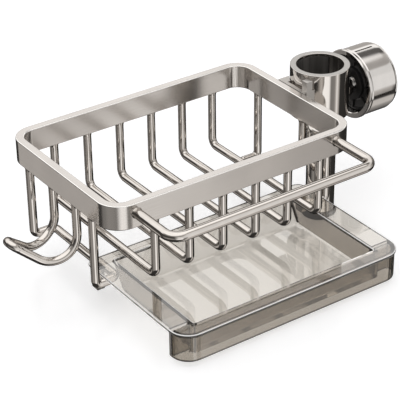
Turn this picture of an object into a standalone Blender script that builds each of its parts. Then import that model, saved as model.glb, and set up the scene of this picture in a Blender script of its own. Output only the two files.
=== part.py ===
"""Drainer basket that clamps on a faucet pipe: a wire basket under a flat steel rim, a side hook,
a towel bar, a support post with a levelling foot, and a clear drip tray on wire rails.

Metres, +Z up. The origin is the centre of the clamp ring's bore, with the bore along Z. The
basket lies on the -X side of the ring, its towel bar faces -Y and the clamp knob points to +X.
"""
import math

import bmesh
import bpy
from mathutils import Matrix, Vector

MM = 0.001

# Rim band
RIM_LENGTH = 168.0 * MM
RIM_WIDTH = 111.4 * MM
RIM_HEIGHT = 14.9 * MM
RIM_WALL = 5.1 * MM
RIM_CORNER = 14.0 * MM
RIM_EDGE = 0.7 * MM

# Clamp ring, its bore and its place beside the rim
BORE_RADIUS = 14.5 * MM
RING_WALL = 3.8 * MM
RING_HEIGHT = 32.0 * MM
RING_RISE = 9.0 * MM
RING_TO_RIM = 4.2 * MM
RING_FROM_FRONT = 62.3 * MM
RING_EDGE = 0.5 * MM

# Wires of the basket and of the tray rails
WIRE_DIAMETER = 5.0 * MM
WIRE_INSET = 2.55 * MM
WIRE_BEND = 5.0 * MM
BASKET_WIRE_COUNT = 6
FIRST_WIRE_FROM_LEFT = 29.0 * MM
LAST_WIRE_FROM_RIGHT = 25.3 * MM
BASKET_DEPTH = 53.7 * MM
RAIL_FROM_FRONT = 23.5 * MM
RAIL_FROM_REAR = 19.9 * MM
RAIL_INSET = 16.5 * MM
RAIL_BEND = 3.5 * MM

# Towel bar
TOWEL_DIAMETER = 6.2 * MM
TOWEL_REACH = 33.7 * MM
TOWEL_LEFT = 16.5 * MM
TOWEL_RIGHT = 15.0 * MM
TOWEL_DROP = 6.0 * MM
TOWEL_BEND = 8.0 * MM

# Double hook
HOOK_FRONT = 40.8 * MM
HOOK_SPREAD = 24.8 * MM
HOOK_STRAIGHT = 33.4 * MM
HOOK_BEND = 14.0 * MM
HOOK_SWEEP = math.radians(130.0)
HOOK_TIP_RUN = 12.8 * MM
HOOK_TIP_RADIUS = 4.6 * MM

# Support post and levelling foot
POST_RADIUS = 8.8 * MM
POST_WALL = 1.2 * MM
POST_TO_RAIL = 0.65 * MM
POST_OUTSIDE_RIM = 2.6 * MM
POST_COLLAR_STEP = 0.6 * MM
POST_COLLAR_HEIGHT = 2.4 * MM
POST_SPIGOT = 6.0 * MM
INSERT_HEIGHT = 12.0 * MM
FOOT_RADIUS = 10.2 * MM
FOOT_THICKNESS = 3.0 * MM
FOOT_SOLE = 1.2 * MM
STUD_RADIUS = 3.0 * MM
STUD_LENGTH = 27.0 * MM
BRACE_TO_POST = 0.93 * MM
BRACE_DEPTH = 42.0 * MM

# Drip tray
TRAY_TO_POST = 1.25 * MM
TRAY_UNDER_RIM_WIDTH = 14.8 * MM
TRAY_HEIGHT = 17.6 * MM
TRAY_WALL = 1.6 * MM
TRAY_CORNER = 12.0 * MM
TRAY_REAR_CORNER = 5.0 * MM
BASIN_TO_RAIL = 1.45 * MM
TRAY_FRONT_DEPTH = 10.0 * MM
TRAY_POCKET_DEPTH = 14.0 * MM
TRAY_LIP = 0.8 * MM
TRAY_REAR_LEDGE = 6.0 * MM
TRAY_REAR_SLOPE = 11.0 * MM
TRAY_FILLET = 3.0 * MM
TRAY_FLOOR_GAP = 3.2 * MM
TRAY_SHORT_OF_STOP = 5.5 * MM
STOP_LENGTH = 6.0 * MM
STOP_HEIGHT = 13.0 * MM

# Clamp bracket and knob
BRACKET_LENGTH = 25.0 * MM
BRACKET_PLATE = 2.6 * MM
BRACKET_HEIGHT = 13.0 * MM
BRACKET_REACH = 8.2 * MM
TONGUE_WIDTH = 12.0 * MM
TONGUE_STEP = 1.5 * MM
LUG_RISE = 7.0 * MM
LUG_WIDTH = 4.5 * MM
LUG_LENGTH = 3.6 * MM
CLAMP_TRAVEL = 3.1 * MM
KNOB_DROP = 4.3 * MM
KNOB_RADIUS = 21.5 * MM
KNOB_LENGTH = 23.8 * MM
KNOB_WALL = 3.0 * MM
KNOB_LIP = 0.6 * MM
KNOB_SLOTS = 4
KNOB_SLOT_TURN = math.radians(-4.5)
KNOB_SLOT_START = 4.0 * MM
KNOB_SLOT_LENGTH = 13.5 * MM
KNOB_SLOT_WIDTH = 1.3 * MM
KNOB_SLOT_DEPTH = 1.0 * MM
KNOB_RECESS = 5.0 * MM
KNOB_CAP = 1.6 * MM
HUB_RADIUS = 10.5 * MM
BOSS_RADIUS = 7.6 * MM
BOSS_LENGTH = 2.6 * MM
SCREW_RADIUS = 4.0 * MM
BUSH_WALL = 1.4 * MM
NUT_ACROSS_FLATS = 13.0 * MM
NUT_HEIGHT = 4.0 * MM
SHOE_THICKNESS = 1.7 * MM
SHOE_WIDTH = 11.8 * MM
SHOE_HEIGHT = 15.8 * MM
PAD_THICKNESS = 1.4 * MM
POCKET_WALL = 1.7 * MM
RIVET_RADIUS = 2.0 * MM
RIVET_HEAD = 3.0 * MM
RIVET_HEAD_HEIGHT = 0.6 * MM
LINER_THICKNESS = 1.2 * MM
LINER_LIP = 1.8 * MM
LINER_WINDOW = 15.0 * MM

# Gap between pieces that touch, and play round a piece that slides
SEAT_GAP = 0.3 * MM
SLIDE_PLAY = 0.6 * MM

# Positions that follow from the sizes above
WIRE_RADIUS = WIRE_DIAMETER / 2
RING_RADIUS = BORE_RADIUS + RING_WALL
X_RIGHT = -(RING_RADIUS + RING_TO_RIM)
X_LEFT = X_RIGHT - RIM_LENGTH
Y_FRONT = -RING_FROM_FRONT
Y_REAR = Y_FRONT + RIM_WIDTH
Z_TOP = RING_HEIGHT / 2 - RING_RISE
Z_UNDER = Z_TOP - RIM_HEIGHT
Z_WELD = Z_UNDER - SEAT_GAP
Z_TRAY_TOP = Z_TOP - BASKET_DEPTH - SEAT_GAP - SLIDE_PLAY
Z_TRAY_BOTTOM = Z_TRAY_TOP - TRAY_HEIGHT
Z_RAIL = Z_TRAY_TOP - TRAY_WALL - SEAT_GAP - WIRE_RADIUS
Z_GROUND = Z_TRAY_BOTTOM - TRAY_FLOOR_GAP
Z_KNOB = -KNOB_DROP
BASKET_WIRE_PITCH = (RIM_LENGTH - FIRST_WIRE_FROM_LEFT - LAST_WIRE_FROM_RIGHT) / (BASKET_WIRE_COUNT - 1)
Y_RAIL_FRONT = Y_FRONT + RAIL_FROM_FRONT
Y_RAIL_REAR = Y_REAR - RAIL_FROM_REAR
X_POST = X_RIGHT + POST_OUTSIDE_RIM
COLLAR_RADIUS = POST_RADIUS + POST_COLLAR_STEP
POST_ACROSS = POST_OUTSIDE_RIM + WIRE_INSET
Y_POST = Y_RAIL_FRONT + math.sqrt((COLLAR_RADIUS + WIRE_RADIUS + POST_TO_RAIL) ** 2 - POST_ACROSS ** 2)
Y_BRACE = Y_POST + math.sqrt((COLLAR_RADIUS + WIRE_RADIUS + BRACE_TO_POST) ** 2 - POST_ACROSS ** 2)
TRAY_INSET = POST_RADIUS - POST_OUTSIDE_RIM + TRAY_TO_POST
TRAY_FLANGE = RAIL_INSET + WIRE_RADIUS + BASIN_TO_RAIL - TRAY_INSET
X_TRAY_LEFT = X_LEFT + TRAY_INSET
X_TRAY_RIGHT = X_RIGHT - TRAY_INSET
Y_STOP = Y_RAIL_FRONT + WIRE_RADIUS + TRAY_SHORT_OF_STOP
Y_TRAY_REAR = Y_STOP + STOP_LENGTH + TRAY_REAR_CORNER
Y_TRAY_FRONT = Y_TRAY_REAR - RIM_WIDTH + TRAY_UNDER_RIM_WIDTH

STEEL = ("brushed_steel", (0.62, 0.60, 0.58), 1.0, 0.30)
CHROME = ("polished_chrome", (0.80, 0.79, 0.78), 1.0, 0.12)
ZINC = ("satin_zinc", (0.60, 0.59, 0.57), 1.0, 0.35)
BRASS = ("brass", (0.72, 0.56, 0.26), 1.0, 0.30)
BLACK = ("black_plastic", (0.02, 0.02, 0.02), 0.0, 0.45)
RUBBER = ("black_rubber", (0.03, 0.03, 0.03), 0.0, 0.80)
SMOKE = ("smoke_plastic", (0.62, 0.59, 0.55), 0.0, 0.08)


def clear_scene():
    for item in list(bpy.data.objects):
        bpy.data.objects.remove(item, do_unlink=True)


def collection(name):
    group = bpy.data.collections.new(name)
    bpy.context.scene.collection.children.link(group)
    return group


def material(settings):
    name, colour, metallic, roughness = settings
    found = bpy.data.materials.get(name)
    if found:
        return found
    made = bpy.data.materials.new(name)
    made.use_nodes = True
    shader = made.node_tree.nodes["Principled BSDF"]
    shader.inputs["Base Color"].default_value = (*colour, 1.0)
    shader.inputs["Metallic"].default_value = metallic
    shader.inputs["Roughness"].default_value = roughness
    return made


def finish_part(item, settings):
    """Gives a sub-part its material and puts it in the object's collection."""
    item.data.materials.append(material(settings))
    PARTS.objects.link(item)
    return item


def finish_cutter(item):
    """Keeps a cutting or joining guide out of sight."""
    item.hide_render = True
    item.display_type = "WIRE"
    CUTTERS.objects.link(item)
    return item


def mesh_object(name, mesh):
    mesh.shade_smooth()
    mesh.set_sharp_from_angle(angle=math.radians(35))
    return bpy.data.objects.new(name, mesh)


def boolean(item, tool, operation="DIFFERENCE"):
    modifier = item.modifiers.new(tool.name, "BOOLEAN")
    modifier.operation = operation
    modifier.solver = "EXACT"
    modifier.object = tool


def block(name, low, high, edge=0.0, keep_top=False):
    """A box between two corners, its edges rounded, apart from the top ones if keep_top."""
    low = Vector(low)
    high = Vector(high)
    mesh = bpy.data.meshes.new(name)
    shape = bmesh.new()
    size = Matrix.Diagonal((*(high - low), 1.0))
    bmesh.ops.create_cube(shape, size=1.0, matrix=Matrix.Translation((low + high) / 2) @ size)
    if edge > 0.0:
        middle = (low.z + high.z) / 2
        edges = [e for e in shape.edges if not keep_top or min(v.co.z for v in e.verts) < middle]
        bmesh.ops.bevel(shape, geom=edges, offset=edge, segments=3, profile=0.5, affect="EDGES")
    shape.to_mesh(mesh)
    shape.free()
    return mesh_object(name, mesh)


def rod(name, start, end, radius, sides=48):
    """A round bar between two points."""
    start = Vector(start)
    end = Vector(end)
    along = end - start
    mesh = bpy.data.meshes.new(name)
    shape = bmesh.new()
    place = Matrix.Translation((start + end) / 2) @ along.to_track_quat("Z", "Y").to_matrix().to_4x4()
    bmesh.ops.create_cone(
        shape, cap_ends=True, segments=sides, radius1=radius, radius2=radius,
        depth=along.length, matrix=place)
    shape.to_mesh(mesh)
    shape.free()
    return mesh_object(name, mesh)


def turned(name, profile, steps=40, closed=True):
    """Turns a profile of (radius, height) points about the object's own Z axis."""
    mesh = bpy.data.meshes.new(name)
    shape = bmesh.new()
    points = [shape.verts.new((radius, 0.0, height)) for radius, height in profile]
    for first, second in zip(points, points[1:]):
        shape.edges.new((first, second))
    if closed:
        shape.edges.new((points[-1], points[0]))
    shape.to_mesh(mesh)
    shape.free()
    item = bpy.data.objects.new(name, mesh)
    screw = item.modifiers.new("turn", "SCREW")
    screw.steps = steps
    screw.render_steps = steps
    screw.use_merge_vertices = True
    screw.merge_threshold = 0.00001
    screw.use_smooth_shade = True
    return item


def point_along_x(item, location):
    """Lays a turned piece down, so that its own +Z points to +X."""
    item.rotation_euler = (0.0, math.radians(90), 0.0)
    item.location = location
    return item


def arc(centre, radius, start, end, steps):
    return [(centre[0] + radius * math.cos(start + (end - start) * i / steps),
             centre[1] + radius * math.sin(start + (end - start) * i / steps))
            for i in range(steps + 1)]


def rounded_rectangle(low, high, front_radius, rear_radius, steps=8):
    """Outline of a rectangle, counter-clockwise, with its own radius at the -Y and +Y corners."""
    quarter = math.pi / 2
    x0, y0 = low
    x1, y1 = high
    points = []
    corners = (
        (x0, y0, 1, 1, front_radius, 2), (x1, y0, -1, 1, front_radius, 3),
        (x1, y1, -1, -1, rear_radius, 0), (x0, y1, 1, -1, rear_radius, 1))
    for x, y, side_x, side_y, radius, turn in corners:
        if radius > 0.0:
            centre = (x + side_x * radius, y + side_y * radius)
            points += arc(centre, radius, turn * quarter, (turn + 1) * quarter, steps)
        else:
            points.append((x, y))
    return points


def prism(name, outlines, low, high):
    """Raises flat outlines, an outer one and any holes, from one height to another."""
    curve = bpy.data.curves.new(name, "CURVE")
    curve.dimensions = "2D"
    curve.fill_mode = "BOTH"
    curve.extrude = (high - low) / 2
    for outline in outlines:
        spline = curve.splines.new("POLY")
        spline.points.add(len(outline) - 1)
        for point, (x, y) in zip(spline.points, outline):
            point.co = (x, y, 0.0, 1.0)
        spline.use_cyclic_u = True
    source = bpy.data.objects.new(name, curve)
    source.location.z = (high + low) / 2
    bpy.context.scene.collection.objects.link(source)
    bpy.context.view_layer.update()
    mesh = bpy.data.meshes.new_from_object(source.evaluated_get(bpy.context.evaluated_depsgraph_get()))
    place = source.matrix_world.copy()
    bpy.data.objects.remove(source)
    shape = bmesh.new()
    shape.from_mesh(mesh)
    bmesh.ops.remove_doubles(shape, verts=shape.verts, dist=0.00001)
    bmesh.ops.recalc_face_normals(shape, faces=shape.faces)
    shape.to_mesh(mesh)
    shape.free()
    item = mesh_object(name, mesh)
    item.matrix_world = place
    return item


def round_edges(item, width, segments=2):
    bevel = item.modifiers.new("edges", "BEVEL")
    bevel.width = width
    bevel.segments = segments
    bevel.limit_method = "ANGLE"
    bevel.angle_limit = math.radians(50)


def bent_path(corners, radius, steps=5):
    """Points of a wire that runs straight between corners and turns each one on an arc."""
    corners = [Vector(corner) for corner in corners]
    points = [corners[0]]
    for before, corner, after in zip(corners, corners[1:], corners[2:]):
        incoming = (before - corner).normalized()
        outgoing = (after - corner).normalized()
        half = incoming.angle(outgoing) / 2
        back = radius / math.tan(half)
        middle = (incoming + outgoing).normalized()
        centre = corner + middle * (radius / math.sin(half))
        start = corner + incoming * back - centre
        axis = start.cross(corner + outgoing * back - centre).normalized()
        for i in range(steps + 1):
            turn = Matrix.Rotation((math.pi - 2 * half) * i / steps, 3, axis)
            points.append(centre + turn @ start)
    points.append(corners[-1])
    return points


def wire(name, points, diameter, settings, resolution=3):
    """A round wire along a path, with filled ends."""
    curve = bpy.data.curves.new(name, "CURVE")
    curve.dimensions = "3D"
    curve.bevel_depth = diameter / 2
    curve.bevel_resolution = resolution
    curve.use_fill_caps = True
    spline = curve.splines.new("POLY")
    spline.points.add(len(points) - 1)
    for point, place in zip(spline.points, points):
        point.co = (*place, 1.0)
    spline.use_smooth = True
    return finish_part(bpy.data.objects.new(name, curve), settings)


def hexagon_radius(across_flats):
    return across_flats / 2 / math.cos(math.pi / 6)


def make_rim():
    outer = rounded_rectangle((X_LEFT, Y_FRONT), (X_RIGHT, Y_REAR), RIM_CORNER, RIM_CORNER)
    inner = rounded_rectangle(
        (X_LEFT + RIM_WALL, Y_FRONT + RIM_WALL), (X_RIGHT - RIM_WALL, Y_REAR - RIM_WALL),
        RIM_CORNER - RIM_WALL, RIM_CORNER - RIM_WALL)
    rim = prism("rim_band", [outer, inner], Z_UNDER, Z_TOP)
    round_edges(rim, RIM_EDGE)
    finish_part(rim, STEEL)


def make_basket_wires():
    front = Y_FRONT + WIRE_INSET
    rear = Y_REAR - WIRE_INSET
    bottom = Z_TOP - BASKET_DEPTH + WIRE_RADIUS
    for number in range(BASKET_WIRE_COUNT):
        x = X_LEFT + FIRST_WIRE_FROM_LEFT + number * BASKET_WIRE_PITCH
        corners = [(x, front, Z_WELD), (x, front, bottom), (x, rear, bottom), (x, rear, Z_WELD)]
        wire(f"basket_wire_{number + 1}", bent_path(corners, WIRE_BEND), WIRE_DIAMETER, CHROME)


def make_rail_wires():
    for name, side, inward in (("rail_wire_left", X_LEFT, 1), ("rail_wire_right", X_RIGHT, -1)):
        leg = side + inward * WIRE_INSET
        rail = side + inward * RAIL_INSET
        corners = [
            (leg, Y_RAIL_FRONT, Z_WELD), (leg, Y_RAIL_FRONT, Z_RAIL), (rail, Y_RAIL_FRONT, Z_RAIL),
            (rail, Y_RAIL_REAR, Z_RAIL), (leg, Y_RAIL_REAR, Z_RAIL), (leg, Y_RAIL_REAR, Z_WELD)]
        wire(name, bent_path(corners, RAIL_BEND), WIRE_DIAMETER, CHROME)


def make_towel_bar():
    left = X_LEFT + TOWEL_LEFT
    right = X_RIGHT - TOWEL_RIGHT
    out = Y_FRONT - TOWEL_REACH
    height = Z_TOP - TOWEL_DROP
    start = Y_FRONT - SEAT_GAP
    corners = [(left, start, height), (left, out, height), (right, out, height), (right, start, height)]
    wire("towel_bar", bent_path(corners, TOWEL_BEND, 8), TOWEL_DIAMETER, CHROME)


def hook_arm(side):
    """One arm of the hook from its weld to the start of its tip; side is -1 in front, 1 behind."""
    x = X_LEFT + WIRE_INSET
    middle = Y_FRONT + HOOK_FRONT + HOOK_SPREAD / 2
    low = Z_TOP - HOOK_STRAIGHT
    steps = 10
    bend = HOOK_BEND * HOOK_SWEEP
    run = HOOK_TIP_RUN / steps
    points = [(x, middle + side * HOOK_SPREAD / 2, Z_WELD)]
    for i in range(2 * steps + 1):
        if i <= steps:
            turn = HOOK_SWEEP * i / steps
            travelled = bend * i / steps
            along = 0.0
        else:
            turn = HOOK_SWEEP
            along = run * (i - steps)
            travelled = bend + along
        share = travelled / (bend + HOOK_TIP_RUN)
        ease = max(0.0, share - 0.25) / 0.75
        half = HOOK_TIP_RADIUS + (HOOK_SPREAD / 2 - HOOK_TIP_RADIUS) * (1 - ease ** 1.35)
        points.append((
            x - HOOK_BEND * (1 - math.cos(turn)) - along * math.sin(turn),
            middle + side * half,
            low - HOOK_BEND * math.sin(turn) - along * math.cos(turn)))
    return points


def make_hook():
    front = hook_arm(-1)
    rear = hook_arm(1)
    tip = Vector(front[-1]).lerp(Vector(rear[-1]), 0.5)
    onward = Vector((-math.sin(HOOK_SWEEP), 0.0, -math.cos(HOOK_SWEEP)))
    round_tip = []
    for i in range(1, 8):
        angle = math.pi * i / 8
        offset = Vector((0.0, -HOOK_TIP_RADIUS * math.cos(angle), 0.0))
        round_tip.append(tip + offset + onward * HOOK_TIP_RADIUS * math.sin(angle))
    wire("double_hook", front + round_tip + rear[::-1], WIRE_DIAMETER, CHROME)


def make_post():
    foot_top = Z_GROUND + FOOT_THICKNESS
    tube_low = foot_top + SEAT_GAP
    tube_high = Z_WELD - POST_COLLAR_HEIGHT - SEAT_GAP
    inside = POST_RADIUS - POST_WALL
    tube = turned("post_tube", [
        (POST_RADIUS, tube_high), (POST_RADIUS, tube_low), (inside, tube_low), (inside, tube_high)])
    tube.location = (X_POST, Y_POST, 0.0)
    finish_part(tube, CHROME)

    spigot = inside - SEAT_GAP
    collar_low = Z_WELD - POST_COLLAR_HEIGHT
    collar = turned("post_collar", [
        (0.0, Z_WELD), (COLLAR_RADIUS, Z_WELD), (COLLAR_RADIUS, collar_low),
        (spigot, collar_low), (spigot, collar_low - POST_SPIGOT), (0.0, collar_low - POST_SPIGOT)],
        closed=False)
    collar.location = (X_POST, Y_POST, 0.0)
    finish_part(collar, CHROME)

    thread = STUD_RADIUS + SEAT_GAP
    insert_high = tube_low + INSERT_HEIGHT
    insert = turned("post_insert", [
        (spigot, insert_high), (spigot, tube_low), (thread, tube_low), (thread, insert_high)], steps=40)
    insert.location = (X_POST, Y_POST, 0.0)
    finish_part(insert, BLACK)

    stud_low = Z_GROUND + FOOT_SOLE + SEAT_GAP
    stud = rod("foot_stud", (0.0, 0.0, stud_low), (0.0, 0.0, stud_low + STUD_LENGTH), STUD_RADIUS, 32)
    stud.location = (X_POST, Y_POST, 0.0)
    finish_part(stud, ZINC)

    socket = thread
    chamfer = FOOT_THICKNESS * 0.3
    foot = turned("foot_pad", [
        (socket, foot_top), (FOOT_RADIUS - chamfer, foot_top), (FOOT_RADIUS, foot_top - chamfer),
        (FOOT_RADIUS, Z_GROUND), (0.0, Z_GROUND), (0.0, Z_GROUND + FOOT_SOLE),
        (socket, Z_GROUND + FOOT_SOLE)], closed=True)
    foot.location = (X_POST, Y_POST, 0.0)
    finish_part(foot, RUBBER)

    brace_x = X_RIGHT - WIRE_INSET
    brace_z = Z_TOP - BRACE_DEPTH
    reach = Y_POST + math.sqrt((POST_RADIUS + SEAT_GAP) ** 2 - (POST_ACROSS - WIRE_RADIUS) ** 2)
    corners = [(brace_x, Y_BRACE, Z_WELD), (brace_x, Y_BRACE, brace_z), (brace_x, reach, brace_z)]
    bend = min(WIRE_BEND, (Y_BRACE - reach) * 0.98)
    wire("post_brace", bent_path(corners, bend), WIRE_DIAMETER, CHROME)


def tray_basin(name, inset, low, high):
    """The tray's basin, or its hollow where inset is a wall, its rear wall leaning back."""
    x0 = X_TRAY_LEFT + TRAY_FLANGE + inset
    x1 = X_TRAY_RIGHT - TRAY_FLANGE - inset
    y0 = Y_TRAY_FRONT + TRAY_FRONT_DEPTH - TRAY_WALL + inset
    y1 = Y_TRAY_REAR - TRAY_REAR_LEDGE - inset
    edge = max(TRAY_FILLET - inset, 0.001)
    basin = block(name, (x0, y0, low), (x1, y1, high), edge, keep_top=True)
    for vertex in basin.data.vertices:
        if vertex.co.y > (y0 + y1) / 2:
            vertex.co.y -= TRAY_REAR_SLOPE * (Z_TRAY_TOP - vertex.co.z) / TRAY_HEIGHT
    return basin


def tray_pocket(x0, x1, y0):
    """Outline of the space behind the tray's front, deeper in the two corners than between them."""
    skirt = TRAY_LIP + TRAY_WALL
    deep = y0 + TRAY_POCKET_DEPTH - TRAY_WALL
    shallow = y0 + TRAY_FRONT_DEPTH - TRAY_WALL
    rounded = rounded_rectangle((x0 + skirt, y0 + skirt), (x1 - skirt, deep), TRAY_CORNER - skirt, 0.0)
    front = rounded[:-2]
    left = x0 + TRAY_FLANGE
    right = x1 - TRAY_FLANGE
    return front + [
        (x1 - skirt, deep), (right, deep), (right, shallow), (left, shallow), (left, deep),
        (x0 + skirt, deep)]


def make_tray():
    x0 = X_TRAY_LEFT
    x1 = X_TRAY_RIGHT
    y0 = Y_TRAY_FRONT
    under = Z_TRAY_TOP - TRAY_WALL
    inside_top = Z_TRAY_TOP - TRAY_WALL / 2
    outline = rounded_rectangle((x0, y0), (x1, Y_TRAY_REAR), TRAY_CORNER, TRAY_REAR_CORNER)
    tray = prism("drip_tray", [outline], under, Z_TRAY_TOP)

    basin = finish_cutter(tray_basin("tray_basin", 0.0, Z_TRAY_BOTTOM, inside_top))
    boolean(tray, basin, "UNION")
    face = rounded_rectangle(
        (x0 + TRAY_LIP, y0 + TRAY_LIP), (x1 - TRAY_LIP, y0 + TRAY_POCKET_DEPTH),
        TRAY_CORNER - TRAY_LIP, 0.0)
    fascia = finish_cutter(prism("tray_fascia", [face], Z_TRAY_BOTTOM, inside_top))
    boolean(tray, fascia, "UNION")
    stop_width = RAIL_INSET - WIRE_RADIUS - SLIDE_PLAY - TRAY_INSET
    for side, edge, inward in (("left", x0, 1), ("right", x1, -1)):
        near = edge + inward * TRAY_LIP
        far = edge + inward * stop_width
        low = (min(near, far), Y_STOP, under - STOP_HEIGHT)
        stop = block("tray_stop_" + side, low, (max(near, far), Y_STOP + STOP_LENGTH, inside_top))
        boolean(tray, finish_cutter(stop), "UNION")

    above = Z_TRAY_TOP + TRAY_WALL
    hollow = finish_cutter(tray_basin("tray_hollow", TRAY_WALL, Z_TRAY_BOTTOM + TRAY_WALL, above))
    boolean(tray, hollow)
    below = Z_TRAY_BOTTOM - TRAY_WALL
    pocket = finish_cutter(prism("tray_pocket", [tray_pocket(x0, x1, y0)], below, under))
    boolean(tray, pocket)
    finish_part(tray, SMOKE)


def make_bracket():
    near = X_RIGHT + SEAT_GAP
    front = -BRACKET_LENGTH / 2
    low = (near, front, Z_TOP - BRACKET_HEIGHT)
    high = (near + BRACKET_REACH, -front, Z_TOP)
    bracket = block("clamp_bracket", low, high)
    lug = block(
        "bracket_lug", (near + BRACKET_PLATE / 2, front - LUG_LENGTH / 4, Z_TOP - BRACKET_HEIGHT / 2),
        (near + BRACKET_PLATE / 2 + LUG_WIDTH, front + LUG_LENGTH, Z_TOP + LUG_RISE))
    boolean(bracket, finish_cutter(lug), "UNION")
    ring_space = rod(
        "ring_space", (0.0, 0.0, low[2] - RIM_WALL), (0.0, 0.0, high[2] + 2 * LUG_RISE),
        RING_RADIUS + SEAT_GAP, 96)
    boolean(bracket, finish_cutter(ring_space))
    slot = block(
        "tongue_slot", (near + BRACKET_PLATE, -TONGUE_WIDTH / 2 - SEAT_GAP, low[2] + BRACKET_PLATE),
        (near + BRACKET_REACH + RIM_WALL, TONGUE_WIDTH / 2 + SEAT_GAP, high[2] + RIM_WALL))
    boolean(bracket, finish_cutter(slot))
    finish_part(bracket, ZINC)


def make_ring():
    half = RING_HEIGHT / 2
    groove = half - LINER_LIP
    groove_radius = BORE_RADIUS + LINER_THICKNESS
    ring = turned("clamp_ring", [
        (RING_RADIUS - RING_EDGE, half), (RING_RADIUS, half - RING_EDGE),
        (RING_RADIUS, -half + RING_EDGE), (RING_RADIUS - RING_EDGE, -half),
        (BORE_RADIUS, -half), (BORE_RADIUS, -groove), (groove_radius, -groove),
        (groove_radius, groove), (BORE_RADIUS, groove), (BORE_RADIUS, half)], steps=60)

    boss_end = RING_RADIUS + BOSS_LENGTH
    in_wall = groove_radius + (RING_WALL - LINER_THICKNESS) / 4
    boss = rod("ring_boss", (in_wall, 0.0, Z_KNOB), (boss_end, 0.0, Z_KNOB), BOSS_RADIUS)
    boolean(ring, finish_cutter(boss), "UNION")
    tongue = block(
        "ring_tongue",
        (X_RIGHT + BRACKET_PLATE + 2 * SEAT_GAP, -TONGUE_WIDTH / 2,
         Z_TOP - BRACKET_HEIGHT + BRACKET_PLATE + SEAT_GAP),
        (-in_wall, TONGUE_WIDTH / 2, Z_TOP - TONGUE_STEP))
    boolean(ring, finish_cutter(tongue), "UNION")

    pocket_x = boss_end - BOSS_LENGTH - POCKET_WALL
    pocket = block(
        "shoe_pocket", (0.0, -SHOE_WIDTH / 2 - SEAT_GAP, Z_KNOB - SHOE_HEIGHT / 2 - SEAT_GAP),
        (pocket_x, SHOE_WIDTH / 2 + SEAT_GAP, Z_KNOB + SHOE_HEIGHT / 2 + SEAT_GAP))
    boolean(ring, finish_cutter(pocket))
    bush_radius = SCREW_RADIUS + SEAT_GAP + BUSH_WALL
    hole = rod(
        "bush_hole", (0.0, 0.0, Z_KNOB), (boss_end + RING_WALL, 0.0, Z_KNOB), bush_radius + SEAT_GAP)
    boolean(ring, finish_cutter(hole))
    finish_part(ring, CHROME)

    bush = turned("screw_bush", [
        (bush_radius, boss_end), (bush_radius, pocket_x), (SCREW_RADIUS + SEAT_GAP, pocket_x),
        (SCREW_RADIUS + SEAT_GAP, boss_end)], steps=40)
    finish_part(point_along_x(bush, (0.0, 0.0, Z_KNOB)), BRASS)

    liner_half = groove - SEAT_GAP
    liner_outer = groove_radius - SEAT_GAP
    liner = turned("bore_liner", [
        (liner_outer, liner_half), (liner_outer, -liner_half),
        (BORE_RADIUS, -liner_half), (BORE_RADIUS, liner_half)], steps=60)
    window = block(
        "liner_window", (0.0, -LINER_WINDOW / 2, -RING_HEIGHT),
        (RING_RADIUS, LINER_WINDOW / 2, RING_HEIGHT))
    boolean(liner, finish_cutter(window))
    finish_part(liner, RUBBER)
    return pocket_x, boss_end


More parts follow.
